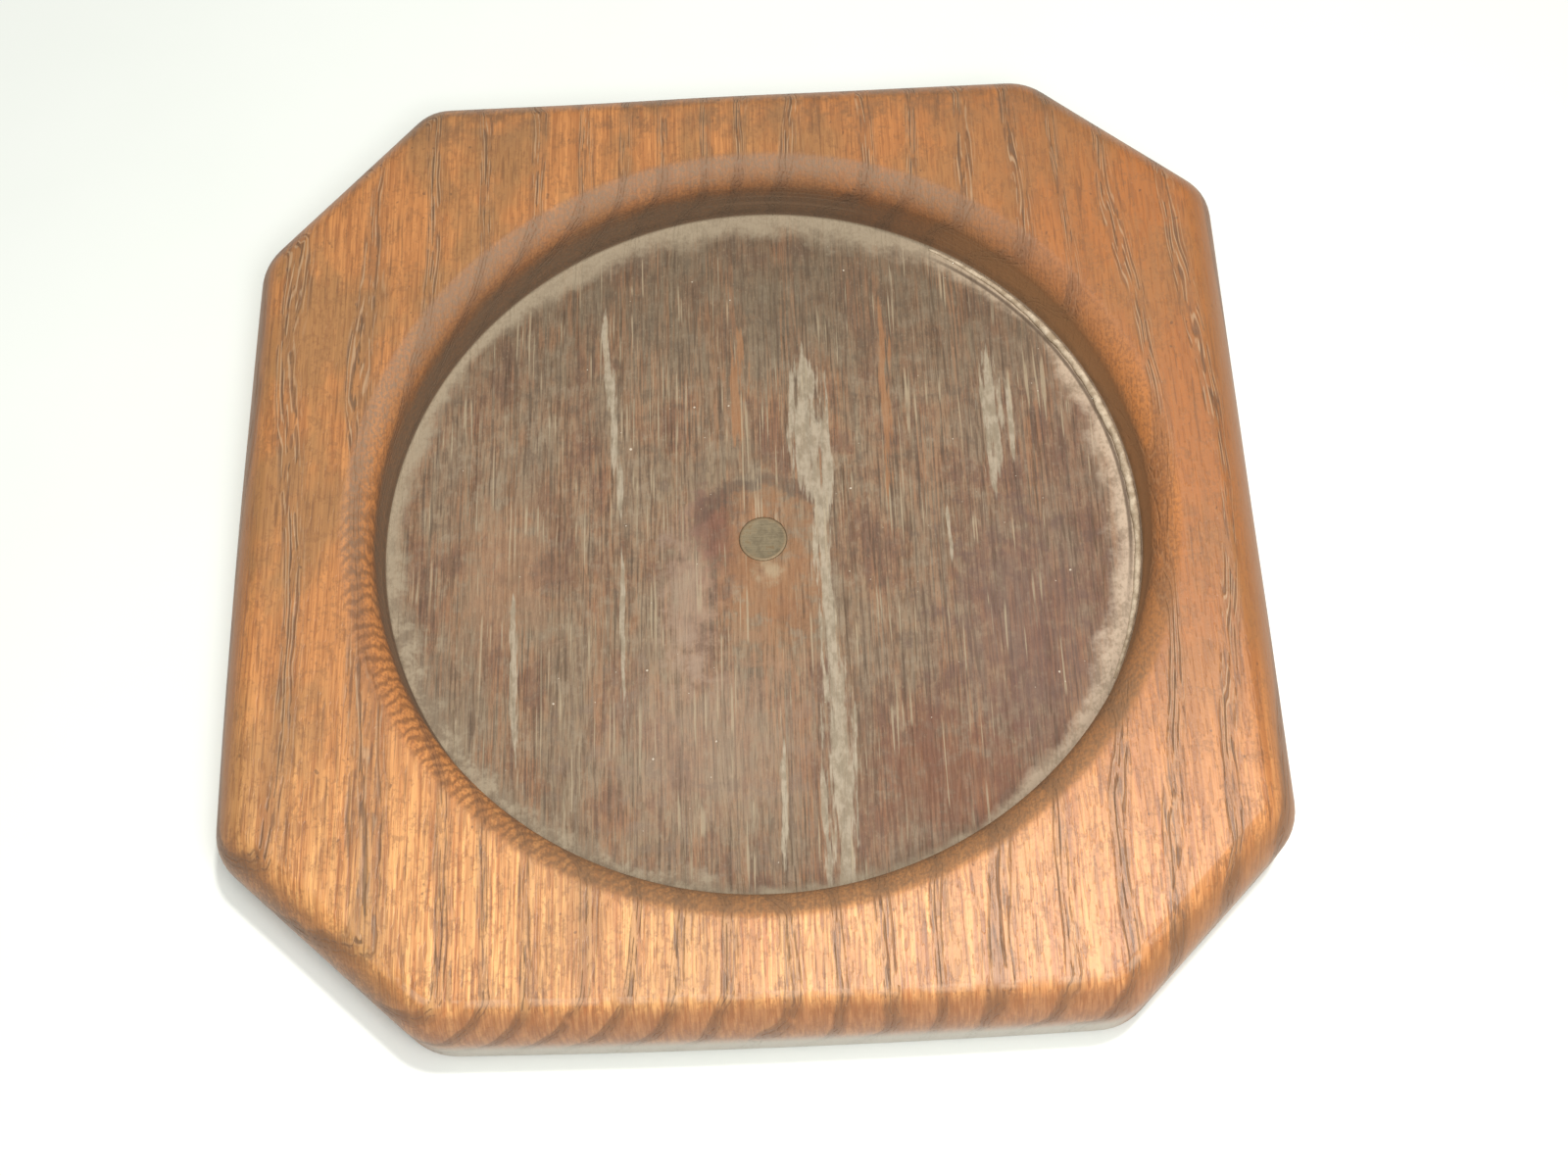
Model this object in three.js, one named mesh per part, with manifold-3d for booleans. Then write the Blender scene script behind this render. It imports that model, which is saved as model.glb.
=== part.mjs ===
// A small wooden plaque: a square board with clipped corners and rounded edges, with a shallow
// round recess turned into its face. A plug sits flush in the middle of the recess floor, and a
// bead of dried glue is left in the corner of the recess, where a four-inch disc was once stuck.
//
// Millimetres, +Z up. The board lies on its back. X runs across the grain and Y along it. The
// origin is the middle of the board's underside.

import * as THREE from "three";
import { mergeVertices } from "three/addons/utils/BufferGeometryUtils.js";
import Module from "manifold-3d";

const wasm = await Module();
wasm.setup();

// ---------------------------------------------------------------- driving dimensions

// Board outline. Each corner is cut off by hand, so the four cuts differ.
const boardWidth = 138.4;
const boardDepth = 139.4;
const cornerCuts = {
  frontRight: { alongX: 23.4, alongY: 22.6 },
  backRight: { alongX: 24.6, alongY: 21.4 },
  backLeft: { alongX: 23.6, alongY: 26.2 },
  frontLeft: { alongX: 27.6, alongY: 24.8 },
};
const cornerSoftening = 3.5; // how far each corner's rounding reaches along its two edges
const frontBow = 0.5; // how far the middle of the front edge stands out
const leftBow = 0.4;

// Board section.
const floorThickness = 4.8; // wood left under the recess
const recessDepth = 10.2;
const edgeRadius = 6.9; // rounding of the upper edge
const arrisSlope = THREE.MathUtils.degToRad(20); // the rounding leaves the face this steeply
const bottomEase = 1.5;

// Recess. It was turned slightly off the board's middle.
const recessCentre = new THREE.Vector2(2.55, 0.05);
const recessFloorRadius = 52.3;
const wallDraft = 0.3; // the wall leans outward by this much over its height
const lipWidth = 3.5; // the rounded lip between the wall and the face
const lipHeight = 3.8;
const lipSweep = THREE.MathUtils.degToRad(70);

// Plug in the middle of the floor.
const plugCentre = new THREE.Vector2(2.65, -0.7);
const plugRadius = 3.175;
const plugBed = 1.8; // wood left under the plug
const plugGap = 0.15;

// Dried glue. The disc leaned to one side, so the bead is thick on the other.
const beadFrom = THREE.MathUtils.degToRad(-27);
const beadTo = THREE.MathUtils.degToRad(60);
const beadWidth = 1.3;
const beadEndWidth = 0.4;
const beadHeight = 0.9;
const beadGap = 0.3;

// Fineness of the faceted shapes.
const cornerSegments = 6;
const edgeRoundSegments = 7;
const recessSegments = 96;
const lipSegments = 7;
const plugSegments = 32;
const beadSegments = 30;

// ---------------------------------------------------------------- sizes that follow

const boardThickness = floorThickness + recessDepth;
const halfWidth = boardWidth / 2;
const halfDepth = boardDepth / 2;
const arrisCut = edgeRadius * (1 - Math.cos(arrisSlope)); // planed off the top of the rounding
const wallHeight = recessDepth - lipHeight;
const lipFoot = recessFloorRadius + wallDraft;
const overcut = 1.0; // how far a cutting shape runs past what it cuts

// ---------------------------------------------------------------- materials

const lacqueredWood = new THREE.MeshStandardMaterial({ color: 0xb87c50, roughness: 0.38, metalness: 0 });
const dullMetal = new THREE.MeshStandardMaterial({ color: 0x8f8468, roughness: 0.55, metalness: 0.8 });
const driedGlue = new THREE.MeshStandardMaterial({ color: 0xb5a38d, roughness: 0.8, metalness: 0 });

// ---------------------------------------------------------------- joining and cutting

/** Turns a closed three.js geometry into a solid that can be joined or cut. */
function solidFrom(geometry) {
  geometry.deleteAttribute("normal");
  geometry.deleteAttribute("uv");
  const merged = mergeVertices(geometry);
  return new wasm.Manifold(
    new wasm.Mesh({
      numProp: 3,
      vertProperties: new Float32Array(merged.attributes.position.array),
      triVerts: new Uint32Array(merged.index.array),
    }),
  );
}

/** Turns a solid back into a geometry with flat shading normals. */
function geometryFrom(solid) {
  const mesh = solid.getMesh();
  const geometry = new THREE.BufferGeometry();
  geometry.setAttribute("position", new THREE.BufferAttribute(mesh.vertProperties, 3));
  geometry.setIndex(new THREE.BufferAttribute(mesh.triVerts, 1));
  geometry.computeVertexNormals();
  return geometry;
}

/** A mesh with its node name and material. */
function namedMesh(name, geometry, material) {
  const mesh = new THREE.Mesh(geometry, material);
  mesh.name = name;
  return mesh;
}

// ---------------------------------------------------------------- board outline

/** The outline's eight corners, anticlockwise from the right end of the front edge. */
function outlineCorners() {
  const front = -halfDepth + frontBow;
  const back = halfDepth;
  const left = -halfWidth + leftBow;
  const right = halfWidth;
  const { frontRight, backRight, backLeft, frontLeft } = cornerCuts;
  return [
    new THREE.Vector2(right - frontRight.alongX, front),
    new THREE.Vector2(right, front + frontRight.alongY),
    new THREE.Vector2(right, back - backRight.alongY),
    new THREE.Vector2(right - backRight.alongX, back),
    new THREE.Vector2(left + backLeft.alongX, back),
    new THREE.Vector2(left, back - backLeft.alongY),
    new THREE.Vector2(left, front + frontLeft.alongY),
    new THREE.Vector2(left + frontLeft.alongX, front),
  ];
}

/** How far each edge bows outward, in the order of the corners that the edges start from. */
const edgeBows = [0, 0, 0, 0, 0, leftBow, 0, frontBow];

/** A point part of the way from one corner towards another, at a distance from the first. */
function stepTowards(from, to, distance) {
  const direction = to.clone().sub(from).normalize();
  return from.clone().addScaledVector(direction, distance);
}

/** The board's outline, with its corners rounded and two of its edges bowed. */
function boardOutline() {
  const corners = outlineCorners();
  const shape = new THREE.Shape();
  corners.forEach((corner, i) => {
    const before = corners[(i + 7) % 8];
    const after = corners[(i + 1) % 8];
    const roundStart = stepTowards(corner, before, cornerSoftening);
    const roundEnd = stepTowards(corner, after, cornerSoftening);
    const edgeEnd = stepTowards(after, corner, cornerSoftening);
    if (i === 0) {
      shape.moveTo(roundStart.x, roundStart.y);
    }
    shape.quadraticCurveTo(corner.x, corner.y, roundEnd.x, roundEnd.y);
    if (edgeBows[i] === 0) {
      shape.lineTo(edgeEnd.x, edgeEnd.y);
    } else {
      const along = edgeEnd.clone().sub(roundEnd).normalize();
      const outward = new THREE.Vector2(along.y, -along.x);
      const pull = roundEnd.clone().add(edgeEnd).multiplyScalar(0.5);
      pull.addScaledVector(outward, 2 * edgeBows[i]);
      shape.quadraticCurveTo(pull.x, pull.y, edgeEnd.x, edgeEnd.y);
    }
  });
  return shape;
}

// ---------------------------------------------------------------- board

/** The outline as a tall block whose upper edge is rounded over. */
function blockRoundedAbove() {
  const straight = boardThickness + arrisCut - edgeRadius + overcut;
  const geometry = new THREE.ExtrudeGeometry(boardOutline(), {
    depth: straight,
    curveSegments: cornerSegments,
    bevelThickness: edgeRadius,
    bevelSize: edgeRadius,
    bevelOffset: -edgeRadius,
    bevelSegments: edgeRoundSegments,
  });
  geometry.translate(0, 0, -overcut);
  return solidFrom(geometry);
}

/** The outline as a tall block whose lower edge is eased. */
function blockEasedBelow() {
  const geometry = new THREE.ExtrudeGeometry(boardOutline(), {
    depth: boardThickness,
    curveSegments: cornerSegments,
    bevelThickness: bottomEase,
    bevelSize: bottomEase,
    bevelOffset: -bottomEase,
    bevelSegments: 3,
  });
  geometry.translate(0, 0, bottomEase);
  return solidFrom(geometry);
}

/** The slab between the board's two flat faces. */
function slabBetweenFaces() {
  const geometry = new THREE.BoxGeometry(boardWidth + 2 * overcut, boardDepth + 2 * overcut, boardThickness);
  geometry.translate(0, 0, boardThickness / 2);
  return solidFrom(geometry);
}

/** What the lathe takes away: the floor, the leaning wall and the rounded lip. */
function recessCutter() {
  const profile = [
    new THREE.Vector2(0, floorThickness),
    new THREE.Vector2(recessFloorRadius, floorThickness),
  ];
  for (let i = 0; i <= lipSegments; i += 1) {
    const turn = (lipSweep * i) / lipSegments;
    const reach = (lipWidth * (1 - Math.cos(turn))) / (1 - Math.cos(lipSweep));
    const rise = (lipHeight * Math.sin(turn)) / Math.sin(lipSweep);
    profile.push(new THREE.Vector2(lipFoot + reach, floorThickness + wallHeight + rise));
  }
  profile.push(new THREE.Vector2(lipFoot + lipWidth, boardThickness + overcut));
  profile.push(new THREE.Vector2(0, boardThickness + overcut));
  const geometry = new THREE.LatheGeometry(profile, recessSegments);
  geometry.rotateX(Math.PI / 2);
  geometry.translate(recessCentre.x, recessCentre.y, 0);
  return solidFrom(geometry);
}

/** The blind hole that the plug stands in. */
function plugHoleCutter() {
  const height = floorThickness - plugBed + overcut;
  const geometry = new THREE.CylinderGeometry(plugRadius + plugGap, plugRadius + plugGap, height, plugSegments);
  geometry.rotateX(Math.PI / 2);
  geometry.translate(plugCentre.x, plugCentre.y, plugBed + height / 2);
  return solidFrom(geometry);
}

function board() {
  const block = blockRoundedAbove().intersect(blockEasedBelow()).intersect(slabBetweenFaces());
  const turned = block.subtract(recessCutter()).subtract(plugHoleCutter());
  return namedMesh("board", geometryFrom(turned), lacqueredWood);
}

// ---------------------------------------------------------------- plug

/** A round metal plug, flush with the recess floor and standing on the bottom of its hole. */
function centrePlug() {
  const height = floorThickness - plugBed;
  const geometry = new THREE.CylinderGeometry(plugRadius, plugRadius, height, plugSegments);
  geometry.rotateX(Math.PI / 2);
  geometry.translate(plugCentre.x, plugCentre.y, plugBed + height / 2);
  return namedMesh("centre_plug", geometry, dullMetal);
}

// ---------------------------------------------------------------- dried glue

/** How wide the bead is, from 0 at its first end to 1 at its last: full in the middle. */
function beadWidthAt(share) {
  const fullness = Math.sin(Math.PI * share);
  return beadEndWidth + (beadWidth - beadEndWidth) * fullness;
}

/** A thin crescent of glue in the corner between the recess floor and its wall. */
function glueBead() {
  const outerRadius = recessFloorRadius - beadGap;
  const outer = [];
  const inner = [];
  for (let i = 0; i <= beadSegments; i += 1) {
    const share = i / beadSegments;
    const turn = beadFrom + (beadTo - beadFrom) * share;
    const direction = new THREE.Vector2(Math.cos(turn), Math.sin(turn));
    outer.push(direction.clone().multiplyScalar(outerRadius));
    inner.push(direction.clone().multiplyScalar(outerRadius - beadWidthAt(share)));
  }
  const shape = new THREE.Shape([...outer, ...inner.reverse()]);
  const geometry = new THREE.ExtrudeGeometry(shape, { depth: beadHeight, bevelEnabled: false });
  geometry.translate(recessCentre.x, recessCentre.y, floorThickness);
  return namedMesh("glue_bead", geometry, driedGlue);
}

// ---------------------------------------------------------------- assembly

const plaque = new THREE.Group();
plaque.add(board(), centrePlug(), glueBead());

export default plaque;
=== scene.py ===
"""The looks of a small wooden plaque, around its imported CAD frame.

The board is one closed surface with a worn, oiled finish outside and old glue and dust inside its
round recess. A dull metal plug and a ridge of dried glue go with it. Everything is in metres, with
+Z up, X across the grain and Y along it. Sizes below are in millimetres unless they say otherwise.
"""

import math

import bpy
import numpy as np
from mathutils import Matrix, Vector


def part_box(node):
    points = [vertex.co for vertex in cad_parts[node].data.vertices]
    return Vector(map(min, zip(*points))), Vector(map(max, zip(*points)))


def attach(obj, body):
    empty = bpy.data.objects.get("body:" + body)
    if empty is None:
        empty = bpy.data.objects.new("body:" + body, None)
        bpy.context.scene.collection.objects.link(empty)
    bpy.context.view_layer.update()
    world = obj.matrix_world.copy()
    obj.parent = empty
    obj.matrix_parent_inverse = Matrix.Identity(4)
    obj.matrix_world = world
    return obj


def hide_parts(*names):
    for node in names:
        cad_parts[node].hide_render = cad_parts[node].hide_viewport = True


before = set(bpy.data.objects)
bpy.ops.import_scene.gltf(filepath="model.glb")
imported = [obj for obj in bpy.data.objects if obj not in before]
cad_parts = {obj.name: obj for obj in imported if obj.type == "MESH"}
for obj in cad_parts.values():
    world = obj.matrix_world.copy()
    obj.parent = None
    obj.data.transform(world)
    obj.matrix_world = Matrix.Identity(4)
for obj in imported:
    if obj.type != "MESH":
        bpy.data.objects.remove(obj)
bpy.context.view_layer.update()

MM = 0.001

# ---------------------------------------------------------------- sizes

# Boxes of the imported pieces.
BOARD_LOW, BOARD_HIGH = (np.array(corner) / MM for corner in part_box("board"))
PLUG_LOW, PLUG_HIGH = (np.array(corner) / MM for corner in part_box("centre_plug"))

# Board outline.
CORNER_CUTS = {  # how much each corner loses along X and along Y
    "front_right": (23.4, 22.6),
    "back_right": (24.6, 21.4),
    "back_left": (23.6, 26.2),
    "front_left": (27.6, 24.8),
}
CORNER_SOFTENING = 3.5  # how far each corner's rounding reaches along its two edges
FRONT_BOW = 0.5  # how far the middle of the front edge stands out
LEFT_BOW = 0.4

# Board section.
THICKNESS = BOARD_HIGH[2]
FLOOR = PLUG_HIGH[2]  # height of the recess floor
EDGE_RADIUS = 6.9
ARRIS_SLOPE = math.radians(20)  # the edge's circle leaves the face this steeply
BOTTOM_EASE = 1.5
CREASE_DROP = 0.03  # wear on the creases at the rim and the arris

# Recess.
RECESS_CENTRE = np.array([2.55, 0.05])
FLOOR_RADIUS = 52.3
WALL_DRAFT = 0.3  # the wall leans outward by this much over its height
LIP_WIDTH = 3.5
LIP_HEIGHT = 3.8
LIP_SWEEP = math.radians(70)
LIP_FOOT = FLOOR_RADIUS + WALL_DRAFT
RIM_RADIUS = LIP_FOOT + LIP_WIDTH
WALL_TOP = THICKNESS - LIP_HEIGHT

# Plug.
PLUG_CENTRE = (PLUG_LOW[:2] + PLUG_HIGH[:2]) / 2
PLUG_RADIUS = (PLUG_HIGH[0] - PLUG_LOW[0]) / 2
PLUG_GAP = 0.15
HOLE_RADIUS = PLUG_RADIUS + PLUG_GAP

# Glue ridge.
GLUE_FROM = math.radians(-27)
GLUE_TO = math.radians(60)
GLUE_GAP = 0.12  # between the ridge and the foot of the wall
GLUE_END_WIDTH = 0.35
GLUE_EXTRA_WIDTH = 0.85  # added where the ridge is fullest
GLUE_END_HEIGHT = 0.15
GLUE_EXTRA_HEIGHT = 0.62

# Worn corners.
HOLE_WEAR = 0.07  # how much wider the plug hole is at the top
CORNER_FILL = 0.35  # where the floor starts to turn up into the wall
RIM_WEAR = 0.3  # how far outside the rim the flat face starts
ARRIS_WEAR = 0.18  # how far inside the arris the flat face ends

# Fineness.
AROUND = 448  # points round the board
OUTLINE_STEPS = 120  # on each line and curve of the outline, before they are spaced evenly
FLOOR_RINGS = 22
WALL_RINGS = 7
LIP_RINGS = 14
FACE_RINGS = 12
EDGE_RINGS = 15
SIDE_RINGS = 5
EASE_RINGS = 5
UNDERSIDE_SHARES = [0.01, 0.2, 0.4, 0.6, 0.8, 0.97]
PLUG_AROUND = 96
GLUE_SECTIONS = 260
GLUE_AROUND = 20


# ---------------------------------------------------------------- surfaces

def add_piece(name, rings, material):
    """Skins rings of points into one closed mesh that rides on the plaque.

    rings is an array of (ring, point, xyz) in millimetres. Each ring is joined to the next by
    quads, and the first and last rings are closed by a point in their middles.
    """
    ring_count, point_count, _ = rings.shape
    middles = rings[[0, -1]].mean(axis=1)
    vertices = np.vstack([rings.reshape(-1, 3), middles]) * MM
    ring, point = np.meshgrid(np.arange(ring_count - 1), np.arange(point_count), indexing="ij")
    following = (point + 1) % point_count
    quads = np.stack([
        ring * point_count + point,
        ring * point_count + following,
        (ring + 1) * point_count + following,
        (ring + 1) * point_count + point,
    ], axis=-1).reshape(-1, 4)
    first = np.arange(point_count)
    after = (first + 1) % point_count
    last = (ring_count - 1) * point_count
    start_pole = np.full(point_count, len(vertices) - 2)
    end_pole = start_pole + 1
    caps = np.vstack([
        np.stack([after, first, start_pole], axis=-1),
        np.stack([last + first, last + after, end_pole], axis=-1),
    ])
    mesh = bpy.data.meshes.new(name)
    mesh.from_pydata(vertices.tolist(), [], quads.tolist() + caps.tolist())
    mesh.shade_smooth()
    mesh.materials.append(material)
    mesh.update()
    piece = bpy.data.objects.new(name, mesh)
    bpy.context.scene.collection.objects.link(piece)
    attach(piece, "root")
    return piece


def quadratic(start, pull, end, shares):
    """Points on the quadratic curve from start to end that leans towards pull."""
    t = shares[:, None]
    return (1 - t) ** 2 * start + 2 * t * (1 - t) * pull + t ** 2 * end


def board_outline():
    """Evenly spaced points round the board's outline, and the outward direction at each.

    The outline is a rectangle with four straight corner cuts. Each of its eight corners is a
    quadratic curve that starts and ends CORNER_SOFTENING away. The front and left edges bow out.
    """
    front = BOARD_LOW[1] + FRONT_BOW
    back = BOARD_HIGH[1]
    left = BOARD_LOW[0] + LEFT_BOW
    right = BOARD_HIGH[0]
    cuts = CORNER_CUTS
    corners = np.array([
        (right - cuts["front_right"][0], front),
        (right, front + cuts["front_right"][1]),
        (right, back - cuts["back_right"][1]),
        (right - cuts["back_right"][0], back),
        (left + cuts["back_left"][0], back),
        (left, back - cuts["back_left"][1]),
        (left, front + cuts["front_left"][1]),
        (left + cuts["front_left"][0], front),
    ])
    bows = [0, 0, 0, 0, 0, LEFT_BOW, 0, FRONT_BOW]
    shares = np.linspace(0, 1, OUTLINE_STEPS, endpoint=False)
    pieces = []
    for i, corner in enumerate(corners):
        to_before = corners[i - 1] - corner
        to_after = corners[(i + 1) % 8] - corner
        along = to_after / np.linalg.norm(to_after)
        outward = np.array([along[1], -along[0]])
        round_start = corner + to_before / np.linalg.norm(to_before) * CORNER_SOFTENING
        round_end = corner + along * CORNER_SOFTENING
        edge_end = corner + to_after - along * CORNER_SOFTENING
        pull = (round_end + edge_end) / 2 + outward * 2 * bows[i]
        pieces.append(quadratic(round_start, corner, round_end, shares))
        pieces.append(quadratic(round_end, pull, edge_end, shares))
    fine = np.vstack(pieces + [pieces[0][:1]])
    travelled = np.append(0, np.cumsum(np.linalg.norm(np.diff(fine, axis=0), axis=1)))
    stops = np.linspace(0, travelled[-1], AROUND, endpoint=False)
    outline = np.stack([np.interp(stops, travelled, fine[:, k]) for k in (0, 1)], axis=-1)
    tangent = np.roll(outline, -1, axis=0) - np.roll(outline, 1, axis=0)
    tangent /= np.linalg.norm(tangent, axis=1)[:, None]
    return outline, np.stack([tangent[:, 1], -tangent[:, 0]], axis=-1)


def waves(turn, *terms):
    """A slow wave along a turn: the sum of size * sin(count * turn + start) over the terms."""
    return sum(size * np.sin(count * turn + start) for count, size, start in terms)


def circle(ray, middle, radius, height):
    """A ring at a radius and height round a middle, with one point on each ray."""
    radius = np.broadcast_to(radius, len(ray))
    height = np.broadcast_to(height, len(ray))
    return np.column_stack([middle + ray * radius[:, None], height])


def inset(outline, outward, distance, height):
    """A ring at a height: the outline moved inward by a distance."""
    distance = np.broadcast_to(distance, len(outline))
    height = np.broadcast_to(height, len(outline))
    return np.column_stack([outline - outward * distance[:, None], height])


def between(first, second, shares):
    """Rings that lie these shares of the way from the first ring to the second."""
    return [first + (second - first) * share for share in shares]


def hole_and_floor_rings(ray):
    """Up the plug hole, over its worn edge and out along the floor."""
    rings = [
        circle(ray, PLUG_CENTRE, HOLE_RADIUS, PLUG_LOW[2]),
        circle(ray, PLUG_CENTRE, HOLE_RADIUS, FLOOR - 0.2),
        circle(ray, PLUG_CENTRE, HOLE_RADIUS + 0.02, FLOOR - 0.05),
    ]
    floor_start = circle(ray, PLUG_CENTRE, HOLE_RADIUS + HOLE_WEAR, FLOOR)
    floor_end = circle(ray, RECESS_CENTRE, FLOOR_RADIUS - CORNER_FILL, FLOOR)
    rings += between(floor_start, floor_end, np.linspace(0, 1, FLOOR_RINGS))
    rings.append(circle(ray, RECESS_CENTRE, FLOOR_RADIUS - 0.1, FLOOR + 0.08))
    return rings


def wall_and_lip_rings(ray, rim_wander):
    """Up the leaning wall and over the lip.

    The lip is part of an ellipse: its reach is 1 minus the cosine of the angle and its rise is the
    sine, each scaled to the lip's width or height.
    """
    rings = []
    for share in np.linspace(0.05, 1, WALL_RINGS):
        height = FLOOR + (WALL_TOP - FLOOR) * share
        rings.append(circle(ray, RECESS_CENTRE, FLOOR_RADIUS + WALL_DRAFT * share, height))
    for sweep in np.linspace(0, 1, LIP_RINGS + 1)[1:]:
        angle = LIP_SWEEP * sweep
        reach = LIP_WIDTH * (1 - math.cos(angle)) / (1 - math.cos(LIP_SWEEP))
        rise = LIP_HEIGHT * math.sin(angle) / math.sin(LIP_SWEEP)
        radius = LIP_FOOT + reach + rim_wander * sweep
        rings.append(circle(ray, RECESS_CENTRE, radius, WALL_TOP + rise))
    rings[-1][:, 2] -= CREASE_DROP
    return rings


def face_rings(ray, outline, outward, rim_wander, arris_wander):
    """Across the face in straight lines, from just outside the rim to just inside the arris."""
    arris_inset = EDGE_RADIUS * (1 - math.sin(ARRIS_SLOPE))
    start = circle(ray, RECESS_CENTRE, RIM_RADIUS + rim_wander + RIM_WEAR, THICKNESS)
    end = inset(outline, outward, arris_inset + arris_wander + ARRIS_WEAR, THICKNESS)
    return between(start, end, np.linspace(0, 1, FACE_RINGS))


def edge_rings(outline, outward, arris_wander):
    """Round the upper edge's circle, down the side and round the lower edge's quarter circle.

    On a circle the inset is its radius times 1 minus the sine of the angle, and the height goes
    with the cosine. The arris's wander fades out down the circle.
    """
    circle_middle = THICKNESS + EDGE_RADIUS * (1 - math.cos(ARRIS_SLOPE)) - EDGE_RADIUS
    rings = []
    for angle in np.linspace(ARRIS_SLOPE, math.pi / 2, EDGE_RINGS):
        softness = math.cos(angle) / math.cos(ARRIS_SLOPE)
        inward = EDGE_RADIUS * (1 - math.sin(angle)) + arris_wander * softness
        height = circle_middle + EDGE_RADIUS * math.cos(angle)
        rings.append(inset(outline, outward, inward, height))
    rings[0][:, 2] -= CREASE_DROP
    for height in np.linspace(circle_middle, BOTTOM_EASE, SIDE_RINGS + 1)[1:]:
        rings.append(inset(outline, outward, 0, height))
    for angle in np.linspace(0, math.pi / 2, EASE_RINGS + 1)[1:]:
        inward = BOTTOM_EASE * (1 - math.cos(angle))
        rings.append(inset(outline, outward, inward, BOTTOM_EASE * (1 - math.sin(angle))))
    return rings


def underside_rings(outline, outward):
    """In under the board, nearly to its middle."""
    rim = inset(outline, outward, BOTTOM_EASE, 0)
    return between(rim, rim.mean(axis=0), UNDERSIDE_SHARES)


def board_rings():
    """The board's surface as rings, from the bottom of the plug hole to the underside.

    Each ring has one point on each of AROUND lines. A line follows a ray out of the recess's middle
    as far as the rim, and from there runs straight to its point of the outline. The rim and the
    arris wander a little, as hand sanding leaves them.
    """
    outline, outward = board_outline()
    turn = np.arctan2(outline[:, 1] - RECESS_CENTRE[1], outline[:, 0] - RECESS_CENTRE[0])
    ray = np.stack([np.cos(turn), np.sin(turn)], axis=-1)
    rim_wander = waves(turn, (3, 0.10, 0.4), (5, 0.07, 2.0), (11, 0.03, 1.0))
    arris_wander = waves(turn, (2, 0.10, 1.0), (7, 0.08, 0.3), (13, 0.05, 2.2))
    return np.array([
        *hole_and_floor_rings(ray),
        *wall_and_lip_rings(ray, rim_wander),
        *face_rings(ray, outline, outward, rim_wander, arris_wander),
        *edge_rings(outline, outward, arris_wander),
        *underside_rings(outline, outward),
    ])


def plug_rings():
    """The plug as a turned surface: radius and height at each step, swept round its middle.

    The top is dished by a tenth of a millimetre and has a soft burr at its edge.
    """
    top = PLUG_HIGH[2]
    bottom = PLUG_LOW[2]
    burr = PLUG_RADIUS + PLUG_GAP - 0.02
    profile = np.array([
        (0.30, top - 0.10), (0.90, top - 0.10), (1.60, top - 0.09), (2.20, top - 0.07),
        (2.60, top - 0.04), (2.90, top - 0.01), (3.08, top), (3.20, top - 0.02),
        (burr, top - 0.07), (burr, top - 0.20), (PLUG_RADIUS, top - 0.45),
        (PLUG_RADIUS, bottom + 0.3), (PLUG_RADIUS - 0.2, bottom), (1.5, bottom), (0.3, bottom),
    ])
    turn = np.linspace(0, 2 * math.pi, PLUG_AROUND, endpoint=False)
    radius = profile[:, 0, None]
    return np.stack([
        PLUG_CENTRE[0] + radius * np.cos(turn),
        PLUG_CENTRE[1] + radius * np.sin(turn),
        np.broadcast_to(profile[:, 1, None], (len(profile), len(turn))),
    ], axis=-1)


def glue_rings():
    """The glue ridge: a lumpy half-round section carried along an arc beside the recess wall.

    The ridge's width and height grow with half a sine from end to end, raised to the power 0.8,
    times 1 plus three waves. A section's height goes with the sine of the angle round it, also to
    the power 0.8, and is 0 along its flat base.
    """
    share = np.linspace(0, 1, GLUE_SECTIONS)
    turn = GLUE_FROM + (GLUE_TO - GLUE_FROM) * share
    fullness = np.sin(math.pi * share) ** 0.8
    width_lumps = waves(turn, (23, 0.10, 0.0), (41, 0.07, 1.3), (97, 0.05, 0.2))
    height_lumps = waves(turn, (31, 0.12, 0.8), (67, 0.08, 2.1), (113, 0.05, 0.5))
    width = GLUE_END_WIDTH + GLUE_EXTRA_WIDTH * fullness * (1 + width_lumps)
    height = GLUE_END_HEIGHT + GLUE_EXTRA_HEIGHT * fullness * (1 + height_lumps)
    around = np.linspace(0, 2 * math.pi, GLUE_AROUND, endpoint=False)
    across = (1 + np.cos(around)) / 2
    bulge = np.maximum(np.sin(around), 0) ** 0.8
    radius = FLOOR_RADIUS - GLUE_GAP - width[:, None] * across
    return np.stack([
        RECESS_CENTRE[0] + radius * np.cos(turn)[:, None],
        RECESS_CENTRE[1] + radius * np.sin(turn)[:, None],
        FLOOR + height[:, None] * bulge,
    ], axis=-1)


# ---------------------------------------------------------------- material building

def paint(red, green, blue):
    """A colour from its everyday 0 to 255 values, as the linear values that shaders use."""
    share = np.array([red, green, blue]) / 255
    linear = np.where(share <= 0.04045, share / 12.92, ((share + 0.055) / 1.055) ** 2.4)
    return (*linear.tolist(), 1.0)


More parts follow.
